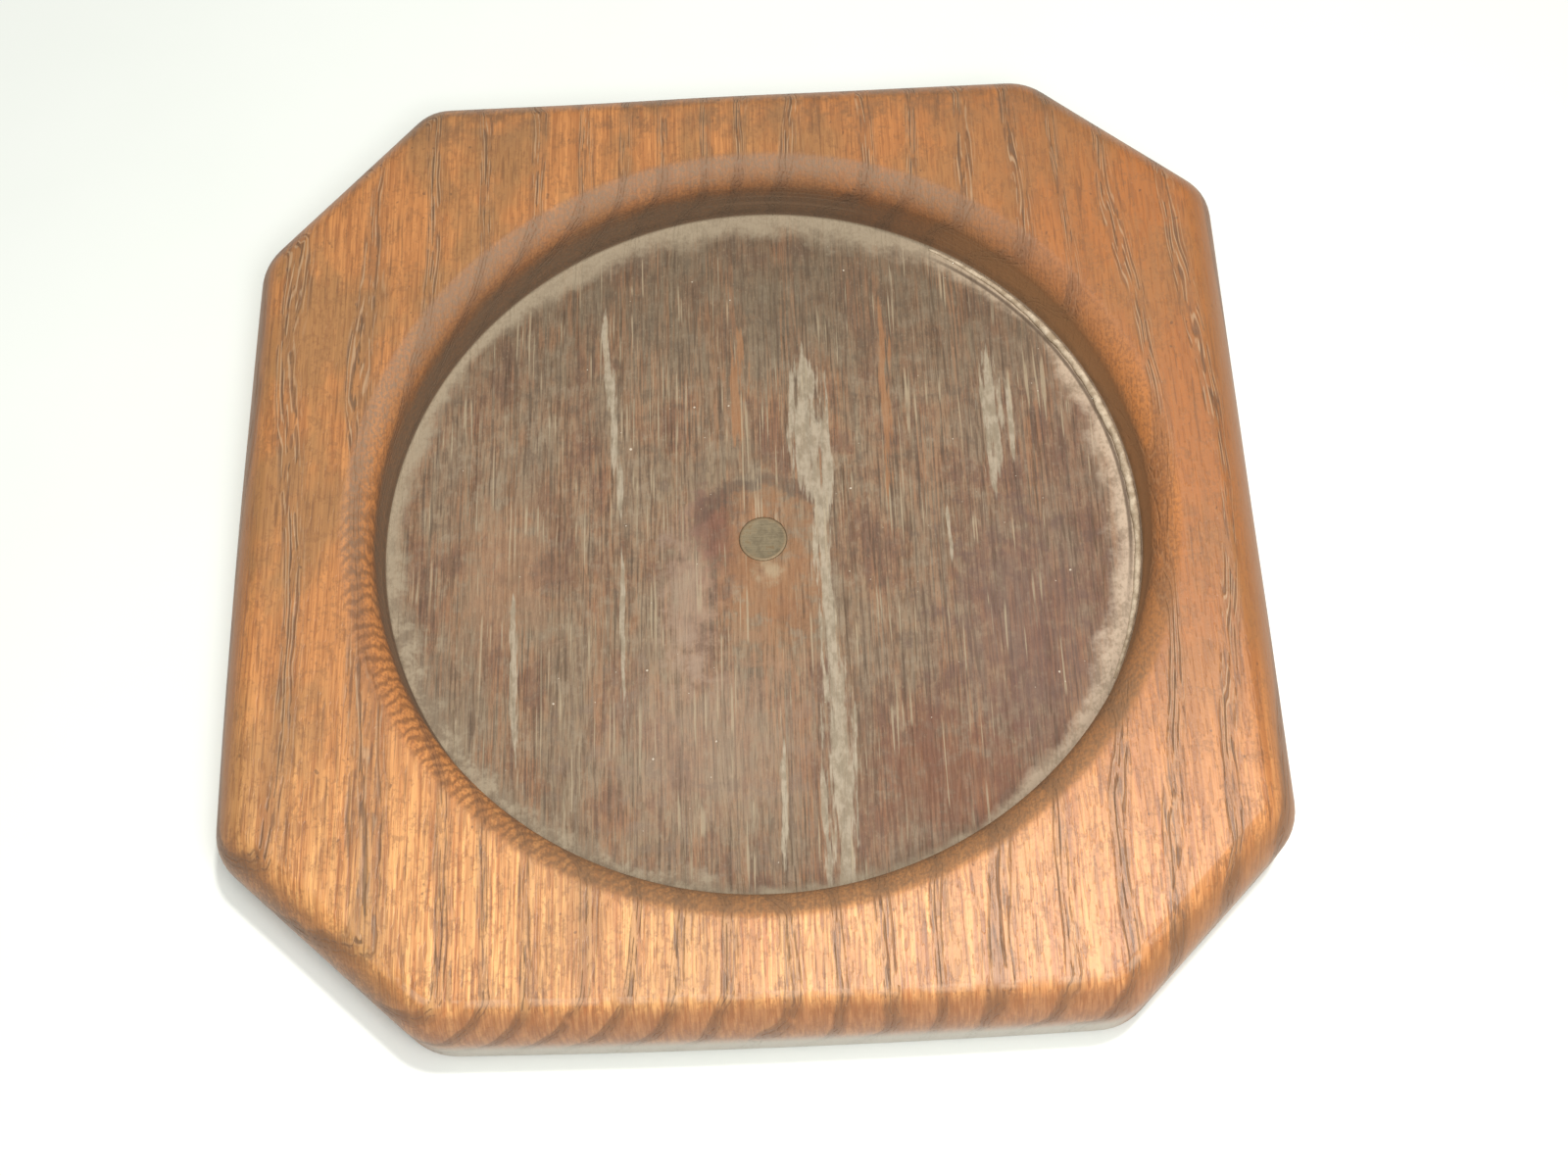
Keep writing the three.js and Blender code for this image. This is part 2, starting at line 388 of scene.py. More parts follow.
class Field:
    """A number that varies over a surface. Arithmetic on it adds Math nodes to its material."""

    def __init__(self, nodes, socket):
        self.nodes = nodes
        self.socket = socket

    def work(self, operation, *others):
        """One step of arithmetic on this number and the others."""
        sources = [self, *others]
        node = self.nodes.add("ShaderNodeMath", operation=operation)
        for i, source in enumerate(sources):
            self.nodes.feed(node.inputs[i], source)
        return Field(self.nodes, node.outputs[0])

    def __add__(self, other):
        return self.work("ADD", other)

    def __sub__(self, other):
        return self.work("SUBTRACT", other)

    def __mul__(self, other):
        return self.work("MULTIPLY", other)

    def __truediv__(self, other):
        return self.work("DIVIDE", other)

    def __pow__(self, other):
        return self.work("POWER", other)

    def root(self):
        return self.work("SQRT")

    def size(self):
        return self.work("ABSOLUTE")

    def fraction(self):
        return self.work("FRACT")

    def largest(self, other):
        return self.work("MAXIMUM", other)

    def ramp(self, low, high, start, end):
        """start below low, end above high, and smooth between."""
        node = self.nodes.add("ShaderNodeMapRange", interpolation_type="SMOOTHSTEP")
        for i, source in enumerate([self, low, high, start, end]):
            self.nodes.feed(node.inputs[i], source)
        return Field(self.nodes, node.outputs[0])

    def rises(self, low, high):
        """0 below low, 1 above high, and smooth between."""
        return self.ramp(low, high, 0.0, 1.0)

    def falls(self, low, high):
        """1 below low, 0 above high, and smooth between."""
        return self.ramp(low, high, 1.0, 0.0)


class Nodes:
    """A material and short calls that add its nodes. x, y and z are the point in millimetres."""

    def __init__(self, name):
        self.material = bpy.data.materials.new(name)
        self.material.use_nodes = True
        self.tree = self.material.node_tree
        self.shader = self.tree.nodes["Principled BSDF"]
        place = self.add("ShaderNodeTexCoord").outputs["Object"]
        scaled = self.add("ShaderNodeVectorMath", operation="SCALE")
        self.feed(scaled.inputs[0], place)
        self.feed(scaled.inputs["Scale"], 1 / MM)
        self.point = scaled.outputs[0]
        parts = self.add("ShaderNodeSeparateXYZ")
        self.feed(parts.inputs[0], self.point)
        self.x, self.y, self.z = (Field(self, parts.outputs[i]) for i in range(3))

    def add(self, kind, **settings):
        """A new node of a kind, with its settings."""
        node = self.tree.nodes.new(kind)
        for key, value in settings.items():
            setattr(node, key, value)
        return node

    def feed(self, socket, source):
        """Links the source to the socket, or sets the socket where the source is a constant."""
        if isinstance(source, Field):
            source = source.socket
        if isinstance(source, bpy.types.NodeSocket):
            self.tree.links.new(source, socket)
        else:
            socket.default_value = source

    def noise(self, across, along, seed, detail=1.0, roughness=0.5, up=None):
        """Cloudy noise from 0 to 1, with blobs across wide, along long (in Y) and up high."""
        place = self.add("ShaderNodeVectorMath", operation="MULTIPLY_ADD")
        self.feed(place.inputs[0], self.point)
        place.inputs[1].default_value = (1 / across, 1 / along, 1 / (up or across))
        place.inputs[2].default_value = (seed * 7.31, seed * 3.17, seed * 5.53)
        node = self.add("ShaderNodeTexNoise")
        self.feed(node.inputs["Vector"], place.outputs[0])
        node.inputs["Scale"].default_value = 1.0
        node.inputs["Detail"].default_value = detail
        node.inputs["Roughness"].default_value = roughness
        return Field(self, node.outputs[0])

    def distance(self, middle):
        """How far the point is from a middle, seen from above."""
        dx = self.x - middle[0]
        dy = self.y - middle[1]
        return (dx * dx + dy * dy).root()

    def blend(self, share, first, second):
        """The first colour where share is 0, the second where it is 1."""
        node = self.add("ShaderNodeMix", data_type="RGBA")
        for i, source in ((0, share), (6, first), (7, second)):
            self.feed(node.inputs[i], source)
        return node.outputs[2]

    def coats(self, colour, *coats):
        """The colour under some coats, laid on in turn. A coat is a share and a colour."""
        for share, coat in coats:
            colour = self.blend(share, colour, coat)
        return colour

    def finish(self, colour, roughness, height, depth, strength=1.0, **constants):
        """Wires the shader. height makes relief that is depth millimetres deep."""
        self.feed(self.shader.inputs["Base Color"], colour)
        self.feed(self.shader.inputs["Roughness"], roughness)
        for name, value in constants.items():
            self.shader.inputs[name.replace("_", " ")].default_value = value
        bump = self.add("ShaderNodeBump")
        bump.inputs["Strength"].default_value = strength
        bump.inputs["Distance"].default_value = depth * MM
        self.feed(bump.inputs["Height"], height)
        self.feed(self.shader.inputs["Normal"], bump.outputs[0])
        return self.material


# ---------------------------------------------------------------- wood

# Growth rings, as seen on the board's end.
RING_MIDDLE = (-82.0, 60.0)  # the tree's middle, across the board and above its underside
RING_CROWDING = 0.6  # rings further from the middle are wider apart
RING_RATE = 1.733
BANDS_IN_RING = 4
HAIRS_IN_RING = 9

# Colours of the face.
OIL_LIGHT = paint(207, 140, 82)
# The front copies are paler: painted light where the front of the face is lit brighter.
OIL_LIGHT_FRONT_PAINTED_LIGHT = paint(255, 190, 120)
OIL_RED = paint(174, 106, 54)
OIL_RED_FRONT_PAINTED_LIGHT = paint(240, 168, 106)
OIL_DARK = paint(172, 112, 66)
OIL_DARK_FRONT_PAINTED_LIGHT = paint(196, 124, 72)
BROAD_BAND = paint(150, 94, 54)
DULL_PATCH = paint(150, 114, 74)
GROWTH_BAND = paint(128, 76, 44)
WORKED_IN_GRIME = paint(140, 96, 60)
OPEN_PORE = paint(124, 76, 48)
DIRT_SPOT = paint(96, 70, 52)
DARK_STROKE = paint(112, 76, 52)
CROWDED_GRAIN = paint(128, 98, 72)
STRAY_LINE = paint(108, 74, 50)
DARK_HAIR_LINE = paint(94, 72, 54)
# Partly the wood's own pale lines and partly a painted glint on the edges of the pore grooves.
PALE_HAIR_LINE_AND_GLINT = paint(192, 160, 126)

# Colours of the rounded edges.
BACK_END_GRAIN = paint(160, 108, 68)
ROUNDED_EDGE = paint(172, 119, 83)
END_STROKE = paint(146, 90, 54)
END_BAND = paint(112, 80, 56)
# A painted highlight along the front arris.
ARRIS_PAINTED_HIGHLIGHT = paint(240, 200, 170)
# A painted reflection of the white table, low on the front side.
FRONT_SIDE_PAINTED_TABLE_REFLECTION = paint(198, 190, 178)
CUT_CORNER_DARKENING = paint(112, 82, 60)
BACK_GRIME = paint(116, 88, 64)

# Colours of the lip and wall.
TURNED_LIGHT = paint(206, 132, 70)
TURNED_DARK = paint(160, 106, 66)
LIP_GRIT = paint(128, 84, 54)
LIP_CURL = paint(112, 74, 44)
LIP_BAND = paint(110, 76, 54)
DUSTY_FILM = paint(146, 120, 96)
# Painted shade on the near lip.
NEAR_LIP_PAINTED_SHADE = paint(124, 97, 71)
WALL_GRIME_AND_PAINTED_SHADE = paint(122, 102, 82)
TURNING_LINE = paint(158, 128, 102)
# Painted light on the right wall.
RIGHT_WALL_PAINTED_LIGHT = paint(188, 142, 98)
# Painted shade at the foot of the wall.
WALL_FOOT_PAINTED_SHADE = paint(80, 66, 54)

# Colours of the recess floor.
STAIN_DARK = paint(110, 82, 62)
STAIN_LIGHT = paint(152, 114, 84)
GREY_FILM = paint(128, 112, 92)
PALE_STREAK = paint(156, 140, 114)
DARK_STREAK = paint(90, 70, 52)
PALE_CLOUD = paint(158, 142, 120)
BROWN_PATCH = paint(104, 76, 62)
DARK_CLOUD = paint(90, 76, 64)
PURPLE_RIGHT = paint(114, 84, 72)
DARK_BACK = paint(92, 80, 62)
DUST_GRAIN = paint(168, 148, 122)
BARE_WOOD = paint(162, 112, 76)
CRACK = paint(76, 60, 46)
FLOOR_PORE = paint(80, 62, 46)
PLUG_STAIN = paint(84, 70, 60)
WIPED_WOOD = paint(164, 114, 74)
GLUE_DAB = paint(176, 156, 126)
SMEAR_DARK = paint(152, 138, 116)
SMEAR_LIGHT = paint(180, 166, 144)
GLUE_DASH = paint(176, 158, 130)
DUST_SPECK = paint(214, 200, 180)
FRINGE_LEFT = paint(166, 150, 126)
FRINGE_RIGHT = paint(204, 182, 158)
FRINGE_GRIT = paint(142, 126, 104)
FRINGE_GRIME = paint(112, 96, 78)
# A painted shadow beside the glue ridge.
GLUE_RIDGE_PAINTED_SHADOW = paint(84, 66, 50)

# Patches on the floor: middle, half width, half length, strength and colour.
FLOOR_PATCHES = [
    ((3.2, -6.0), 7.0, 14.0, 0.50, paint(166, 116, 76)),
    ((-7.8, -9.0), 4.0, 13.0, 0.45, paint(180, 152, 130)),
    ((-4.8, 0.8), 2.6, 6.0, 0.55, paint(118, 74, 62)),
    ((-33.0, -4.0), 7.0, 12.0, 0.35, paint(174, 134, 102)),
    ((38.0, -16.0), 11.0, 17.0, 0.45, paint(112, 84, 76)),
    ((26.0, -36.0), 11.0, 9.0, 0.40, paint(126, 76, 52)),
    ((-6.0, -30.0), 15.0, 14.0, 0.25, paint(184, 158, 136)),
]

# Streaks wiped clean, and smears of dried glue: start, end and width.
CLEAN_STREAKS = [
    ((-0.2, 33.0), (-0.2, 14.0), 2.4),
    ((21.0, 38.0), (20.4, 4.0), 1.2),
]
GLUE_SMEARS = [
    ((11.7, -14.0), (12.6, -60.0), 3.1),
    ((10.2, 8.0), (11.8, -28.0), 1.7),
    ((9.2, 29.0), (9.8, 4.0), 4.0),
    ((12.4, 22.0), (11.2, 0.0), 1.2),
    ((35.6, 29.0), (35.5, 5.0), 2.2),
    ((38.4, 24.0), (38.2, 8.0), 0.8),
    ((-19.6, 38.0), (-17.2, 5.0), 1.1),
    ((9.4, -34.0), (10.0, -52.0), 0.8),
    ((-32.0, -8.0), (-31.0, -34.0), 0.9),
    ((-17.0, -2.0), (-16.6, -30.0), 0.6),
    ((28.4, 3.0), (28.6, -6.0), 0.7),
    ((4.6, -30.0), (4.0, -48.0), 0.6),
]


def soft_patch(n, middle, half_width, half_length, edge):
    """1 in the middle of an oval patch on the floor, 0 outside it, with a cloudy edge."""
    dx = (n.x - middle[0]) / half_width
    dy = (n.y - middle[1]) / half_length
    return ((dx * dx + dy * dy).root() + (edge - 0.5) * 3.0).falls(0.2, 1.4)


def smear(n, start, end, width, edge):
    """1 in a long smear along the grain from start down to end, tapered, with streaky edges."""
    length = end[1] - start[1]
    share = (n.y - start[1]) / length
    middle = share * (end[0] - start[0]) + start[0]
    aside = (n.x - middle).size() / (width / 2)
    beyond = ((share - 0.5).size() * 2) ** 4
    return (aside * 0.8 + beyond + (edge - 0.5) * 5.0).falls(0.5, 1.1)


def smears_together(n, smears, edge):
    """The strongest of several smears at each point."""
    first, *others = smears
    together = smear(n, *first, edge)
    for other in others:
        together = together.largest(smear(n, *other, edge))
    return together


def spindles(n, width, length, seed, low, high):
    """Thin marks that run along the grain and taper at both ends: a drawn-out noise's peaks."""
    return n.noise(width, length, seed, detail=0.0, up=length).rises(low, high)


def bands(phase):
    """How far each point is from the middle of its band, where every whole phase is one band."""
    return (phase.fraction() - 0.5).size()


def wood_grain(n):
    """The grain's fields, by name.

    The growth rings are circles round the tree's middle, bent by slow noise along the board. Their
    count from the middle goes with the distance to the power RING_CROWDING.
    """
    wander = n.noise(24, 95, seed=1) - 0.5
    ripple = n.noise(4, 22, seed=2) - 0.5
    jitter = n.noise(1.2, 9, seed=21, detail=1.0) - 0.5
    curl = n.noise(2.2, 5.0, seed=15, detail=3.0) - 0.5
    broken = n.noise(2.5, 13, seed=3, detail=1.0)
    gaps = n.noise(0.7, 5.0, seed=4, detail=2.0)

    aside = n.x - RING_MIDDLE[0] + wander * 16 + ripple * 2.4
    above = n.z - RING_MIDDLE[1]
    rings = (aside * aside + above * above).root() ** RING_CROWDING * RING_RATE
    share = rings.fraction()
    growth = bands(rings * BANDS_IN_RING + curl * 2.6)
    hairs = bands(rings * HAIRS_IN_RING + jitter * 1.2)
    curls = bands(n.x * 0.53 - n.y * 0.43 + n.z * 0.32 + jitter + curl * 1.8)
    return {
        "crowd": share.rises(0.0, 0.10) * share.falls(0.20, 0.46) * broken.rises(0.20, 0.42),
        "growth": growth.falls(0.05, 0.40),
        "curls": curls.falls(0.06, 0.34),
        "dark_lines": hairs.falls(0.06, 0.21) * gaps.rises(0.43, 0.51),
        # Pale lines beside the dark hair lines: partly the wood's own, partly a painted glint on
        # the groove edges.
        "pale_lines_and_glints": (hairs - 0.25).size().falls(0.03, 0.12) * gaps.rises(0.43, 0.54),
        "stray_lines": spindles(n, 0.50, 9, 20, 0.70, 0.76),
        "pores": spindles(n, 0.30, 2.8, 8, 0.58, 0.64),
        "strokes": spindles(n, 0.42, 4.5, 22, 0.60, 0.68),
        "end_strokes": n.noise(0.50, 26, seed=23, detail=2.0, roughness=0.6, up=2.6),
        "fine": n.noise(0.32, 19, seed=5, detail=2.0, roughness=0.7, up=3.0),
        "broad": n.noise(1.9, 30, seed=6, detail=2.0, roughness=0.6, up=12),
        "tone": n.noise(13, 24, seed=7, detail=4.0, roughness=0.66),
        "clouds": n.noise(2.4, 2.4, seed=10, detail=4.0, roughness=0.66),
        "grit": n.noise(0.42, 0.6, seed=9, detail=2.0, roughness=0.6),
    }


def face_colour(n, grain):
    """Oiled wood outside the recess: orange brown, redder to the right, with painted light in
    front.
    """
    front = n.y.falls(-60, -14)
    right = n.x.rises(-10, 60)
    crowd = grain["crowd"]
    # Paler towards the front: painted light.
    light = n.blend(front, OIL_LIGHT, OIL_LIGHT_FRONT_PAINTED_LIGHT)
    light = n.blend(right * 0.9, light, n.blend(front, OIL_RED, OIL_RED_FRONT_PAINTED_LIGHT))
    dark = n.blend(front, OIL_DARK, OIL_DARK_FRONT_PAINTED_LIGHT)
    mottle = grain["clouds"] + grain["grit"] - 0.5
    spots = n.noise(1.0, 1.3, seed=26, detail=1.0).rises(0.74, 0.80)
    return n.coats(
        n.blend(grain["fine"].rises(0.30, 0.66), dark, light),
        (grain["broad"].rises(0.46, 0.66) * 0.35, BROAD_BAND),
        (grain["tone"].rises(0.44, 0.62) * (front * -0.3 - right * 0.3 + 0.60), DULL_PATCH),
        (grain["growth"] * (front * 0.10 + 0.06), GROWTH_BAND),
        (mottle.rises(0.50, 0.72) * 0.45, WORKED_IN_GRIME),
        (grain["pores"] * (front * 0.14 + 0.24), OPEN_PORE),
        (spots * 0.55, DIRT_SPOT),
        (grain["strokes"] * (crowd * 0.55 + front * 0.12 + 0.05), DARK_STROKE),
        (crowd * (front * 0.12 + 0.24), CROWDED_GRAIN),
        (grain["stray_lines"] * 0.40, STRAY_LINE),
        (grain["dark_lines"] * crowd * 0.65, DARK_HAIR_LINE),
        (grain["pale_lines_and_glints"] * crowd * (front * -0.40 + 0.60), PALE_HAIR_LINE_AND_GLINT),
    )


def edge_colour(n, colour, grain):
    """The rounded edges: end grain shows short upright strokes, with grime by the back edge."""
    clouds = grain["clouds"]
    away = n.distance(RECESS_CENTRE).rises(RIM_RADIUS + 1.0, RIM_RADIUS + 3.0)
    ends = n.y.size().rises(64.0, 66.5)  # the front and back edges, where the grain ends
    rounding = n.z.falls(13.4, 14.8) * away
    # A pale line along the front arris: a painted highlight.
    arris = n.z.rises(14.40, 14.75) * n.z.falls(14.85, 15.0) * n.y.falls(-62, -58)  # in front
    # A pale grey band low on the front side: a painted reflection of the white table.
    table_reflection = n.y.falls(-69.4, -67.6) * n.z.falls(4.5, 9.5)  # low on the front side
    # The cut corner at the front left, darker in mottled patches.
    corner = (n.x + n.y).falls(-112, -106) * (clouds + grain["grit"] - 0.5).rises(0.35, 0.65)
    back = n.y.rises(57, 65.5) * (clouds + grain["tone"] - 0.5).rises(0.3, 0.7)
    return n.coats(
        colour,
        (rounding * 0.75, n.blend(ends * n.y.falls(-10, 10), BACK_END_GRAIN, ROUNDED_EDGE)),
        (rounding * grain["end_strokes"].rises(0.42, 0.60) * ends * 0.45, END_STROKE),
        (rounding * grain["crowd"] * 0.50, END_BAND),
        (arris * (clouds.rises(0.40, 0.56) * 0.22 + 0.04), ARRIS_PAINTED_HIGHLIGHT),
        (table_reflection * 0.92, FRONT_SIDE_PAINTED_TABLE_REFLECTION),
        (corner * 0.60, CUT_CORNER_DARKENING),
        (back * away * 0.55, BACK_GRIME),
    )


def lip_colour(n, colour, grain, reach):
    """The turned lip and wall: orange above, dusty film at the back, grime and painted shade below.

    The growth rings show on the lip as dark curls, because it is cut across them.
    """
    grit = grain["grit"]
    back = (n.y - RECESS_CENTRE[1]) / reach
    right = (n.x - RECESS_CENTRE[0]) / reach
    level = n.z + (grain["clouds"] - 0.5) * 4.0  # height, with a cloudy wander
    inside = reach.falls(RIM_RADIUS - 0.8, RIM_RADIUS + 0.8)
    curls = inside * grain["curls"] * right.falls(-0.6, 0.3) * back.falls(-0.1, 0.35)
    film = inside * (back - right * 0.55).rises(0.10, 0.75) * level.rises(11.8, 14.6)
    # Painted shade on the near lip, strongest in front and at the front right, where the lip turns
    # from the light.
    near_lip_shade = inside * (back - right * 0.3).falls(-0.85, -0.35)
    # Darker low on the wall inside the recess, fading out to the right: grime and painted shade.
    grime = inside * level.falls(8.8, 13.4) * right.falls(0.0, 1.1)
    turning = n.noise(60, 60, seed=24, up=0.34).rises(0.54, 0.66)
    turning = turning * grain["tone"].rises(0.42, 0.56) * n.z.falls(11.0, 12.5)
    # Painted light: the wall on the right is painted paler to lift the shade that falls there.
    right_wall_light = inside * right.rises(0.3, 0.85) * n.z.falls(10.0, 13.5)
    return n.coats(
        colour,
        (inside * 0.55, n.blend(back.rises(0.1, 0.7), TURNED_LIGHT, TURNED_DARK)),
        (inside * grit.rises(0.42, 0.62) * 0.45, LIP_GRIT),
        (curls * 0.60, LIP_CURL),
        (inside * grain["crowd"] * 0.40, LIP_BAND),
        (film * (grit.rises(0.38, 0.66) * 0.40 + 0.34), DUSTY_FILM),
        (near_lip_shade * (grit * 0.5 + 0.4), NEAR_LIP_PAINTED_SHADE),
        (grime * (grit * 0.5 + 0.60), WALL_GRIME_AND_PAINTED_SHADE),
        (inside * turning * 0.45, TURNING_LINE),
        (right_wall_light * 0.75, RIGHT_WALL_PAINTED_LIGHT),
        # Painted shade: darker at the wall's foot, in the corner with the floor.
        (inside * level.falls(5.4, 7.6) * 0.35, WALL_FOOT_PAINTED_SHADE),
    )


def floor_wood(n, grain):
    """The recess floor's stained wood under a grey film that is thick in some places."""
    clouds = grain["clouds"]
    fine = grain["fine"]
    streaks = n.noise(0.6, 11, seed=11, detail=4.0, roughness=0.72)
    patches = n.noise(7, 13, seed=16, detail=5.0, roughness=0.70)
    bare = n.noise(5, 18, seed=27, detail=3.0, roughness=0.6).rises(0.50, 0.64)
    return n.coats(
        n.blend(fine.rises(0.32, 0.62), STAIN_DARK, STAIN_LIGHT),
        (patches.rises(0.40, 0.60) * 0.65, GREY_FILM),
        (streaks.rises(0.46, 0.60) * 0.28, PALE_STREAK),
        (streaks.falls(0.38, 0.46) * 0.45, DARK_STREAK),
        (clouds.rises(0.50, 0.68) * 0.35, PALE_CLOUD),
        (patches.falls(0.36, 0.50) * 0.60, BROWN_PATCH),
        (clouds.falls(0.34, 0.48) * 0.40, DARK_CLOUD),
        ((n.x - n.y * 0.4).rises(10, 50) * 0.28, PURPLE_RIGHT),
        (n.y.rises(14, 42) * 0.50, DARK_BACK),
        (grain["grit"].rises(0.55, 0.75) * 0.22, DUST_GRAIN),
        (bare * fine.rises(0.42, 0.58) * 0.32, BARE_WOOD),
        (spindles(n, 0.32, 9.0, 28, 0.66, 0.72) * 0.45, CRACK),
        (grain["pores"] * 0.30, FLOOR_PORE),
    )


def floor_marks(n, colour, grain):
    """Cleaner and dirtier patches round the plug, and dried glue smeared along the grain."""
    clouds = grain["clouds"]
    for middle, half_width, half_length, strength, tint in FLOOR_PATCHES:
        patch = soft_patch(n, middle, half_width, half_length, clouds)
        colour = n.blend(patch * strength, colour, tint)
    stain = (n.distance(PLUG_CENTRE) - 9.0 + (clouds - 0.5) * 5.0).size().falls(0.4, 1.8)
    stain = stain * (n.y - PLUG_CENTRE[1]).rises(0.0, 5.0)
    edge = n.noise(0.8, 9, seed=12, detail=4.0, roughness=0.62)
    tones = n.noise(0.9, 1.8, seed=25, detail=4.0, roughness=0.6)
    smear_tone = n.blend(tones.rises(0.36, 0.64), SMEAR_DARK, SMEAR_LIGHT)
    dashes = spindles(n, 0.36, 16, 13, 0.66, 0.72) * n.noise(4.0, 9.0, seed=18).rises(0.46, 0.58)
    specks = n.noise(0.7, 0.7, seed=19, detail=0.0).rises(0.86, 0.90)
    return n.coats(
        colour,
        (stain * 0.50, PLUG_STAIN),
        (smears_together(n, CLEAN_STREAKS, edge) * 0.60, WIPED_WOOD),
        (soft_patch(n, (3.4, -5.4), 1.8, 1.8, clouds) * 0.7, GLUE_DAB),
        (smears_together(n, GLUE_SMEARS, edge) * 0.80, smear_tone),
        (dashes * 0.60, GLUE_DASH),
        (specks * 0.8, DUST_SPECK),
    )


def floor_fringe(n, colour, grain, reach):
    """Pale dust and old glue against the wall, with a painted shadow inside the thick glue ridge.
    """
    clouds = grain["clouds"]
    gap = reach * -1.0 + FLOOR_RADIUS  # distance from the wall
    right = (n.x - RECESS_CENTRE[0]) / reach
    back = (n.y - RECESS_CENTRE[1]) / reach
    front_left = (right + back).falls(-1.30, -0.90)
    width = n.noise(9, 9, seed=14, detail=2.0) * 4.4 + front_left * 1.0
    width = width + right.rises(0.75, 1.0) * 1.8 + back.rises(0.6, 1.0) * 1.6
    fringe = (gap / width + (clouds - 0.5) * 1.5).falls(0.35, 1.35)
    dusty = n.coats(
        n.blend(right.rises(0.3, 1.0), FRINGE_LEFT, FRINGE_RIGHT),
        ((clouds + grain["grit"] - 0.5).rises(0.4, 0.7) * 0.5, FRINGE_GRIT),
        (front_left * clouds.rises(0.36, 0.60) * 0.7, FRINGE_GRIME),
    )
    # A painted shadow: a dark line on the floor just inside the glue ridge, on the right.
    ridge_shadow = (gap - 1.55).size().falls(0.10, 0.42)
    ridge_shadow = ridge_shadow * right.rises(0.45, 0.62) * back.rises(-0.35, 0.0)
    return n.coats(colour, (fringe * 0.85, dusty), (ridge_shadow * 0.8, GLUE_RIDGE_PAINTED_SHADOW))


def wood_material():
    """Worn, oiled, open-grained wood: satin outside, dull and grimy inside the recess."""
    n = Nodes("oiled_open_grained_wood")
    grain = wood_grain(n)
    fine = grain["fine"]
    grit = grain["grit"]
    reach = n.distance(RECESS_CENTRE)
    colour = edge_colour(n, face_colour(n, grain), grain)
    colour = lip_colour(n, colour, grain, reach)
    floor = floor_marks(n, floor_wood(n, grain), grain)
    floor = floor_fringe(n, floor, grain, reach)
    on_floor = reach.falls(FLOOR_RADIUS - 0.05, FLOOR_RADIUS + 0.3)
    on_floor = on_floor * n.z.rises(FLOOR - 0.6, FLOOR - 0.3) * n.z.falls(FLOOR + 0.1, FLOOR + 0.6)
    colour = n.blend(on_floor, colour, floor)

    dull = reach.falls(RIM_RADIUS - 1.5, RIM_RADIUS) * n.z.falls(9.0, 14.0)
    lip = reach.falls(RIM_RADIUS - 0.6, RIM_RADIUS + 0.8)
    grooves = grain["dark_lines"] * grain["crowd"]
    roughness = lip * 0.26 + dull * 0.12 + fine * 0.14 + grit * 0.10 + grooves * 0.15 + 0.30
    relief = fine * 0.4 - grain["pores"] * 0.3 - grooves * 1.0 + grit * (lip * 0.8 + 0.25)
    height = relief + on_floor * grain["clouds"] * 1.2
    return n.finish(colour, roughness, height, depth=0.12, strength=0.6)


# ---------------------------------------------------------------- plug, glue and table

METAL_DARK = paint(114, 101, 79)
METAL_LIGHT = paint(137, 123, 98)
METAL_STAIN = paint(124, 98, 66)
METAL_EDGE = paint(142, 120, 92)
GLUE_DARK = paint(164, 144, 118)
GLUE_LIGHT = paint(212, 194, 168)
GLUE_DIRT = paint(118, 96, 74)
TABLE_SHADE = paint(238, 242, 236)
TABLE_PALE = paint(246, 248, 244)


def metal_material():
    """A dull grey-green metal plug, scratched across and stained brown in places."""
    n = Nodes("tarnished_plug_metal")
    clouds = n.noise(1.1, 1.1, seed=21, detail=4.0, roughness=0.65)
    scratches = n.noise(2.6, 0.16, seed=22, detail=2.0)
    edge = n.distance(PLUG_CENTRE).rises(PLUG_RADIUS - 0.4, PLUG_RADIUS - 0.1)
    colour = n.coats(
        n.blend(clouds.rises(0.35, 0.65), METAL_DARK, METAL_LIGHT),
        (clouds.rises(0.56, 0.70) * 0.6, METAL_STAIN),
        (edge * 0.6, METAL_EDGE),
    )
    roughness = clouds * 0.3 + scratches * 0.15 + 0.38
    return n.finish(colour, roughness, scratches + clouds, depth=0.05, strength=0.5, Metallic=0.55)


def glue_material():
    """Dried, dusty glue: pale, mottled, with dark dirt in its hollows."""
    n = Nodes("dried_dusty_glue")
    clouds = n.noise(1.6, 1.6, seed=31, detail=4.0, roughness=0.6)
    grit = n.noise(0.3, 0.3, seed=32, detail=2.0)
    colour = n.blend(clouds.rises(0.35, 0.65), GLUE_DARK, GLUE_LIGHT)
    colour = n.blend(grit.rises(0.56, 0.72) * 0.28, colour, GLUE_DIRT)
    roughness = grit * 0.2 + 0.62
    return n.finish(colour, roughness, clouds + grit * 0.5, depth=0.15, strength=0.7)


def table_material():
    """A plain pale table top with a faint mottle."""
    n = Nodes("pale_table_top")
    mottle = n.noise(40, 40, seed=41, detail=3.0)
    colour = n.blend(mottle, TABLE_SHADE, TABLE_PALE)
    grain = n.noise(0.6, 0.6, seed=42, detail=2.0)
    return n.finish(colour, grain * 0.1 + 0.5, grain, depth=0.02, strength=0.2)


def add_table():
    """A wide flat square just under the board, and not part of it."""
    half = 3.0  # metres
    height = -0.0001
    mesh = bpy.data.meshes.new("table_top")
    corners = [
        (-half, -half, height),
        (half, -half, height),
        (half, half, height),
        (-half, half, height),
    ]
    mesh.from_pydata(corners, [], [(0, 1, 2, 3)])
    mesh.materials.append(table_material())
    table = bpy.data.objects.new("table_top", mesh)
    bpy.context.scene.collection.objects.link(table)


# ---------------------------------------------------------------- camera and light

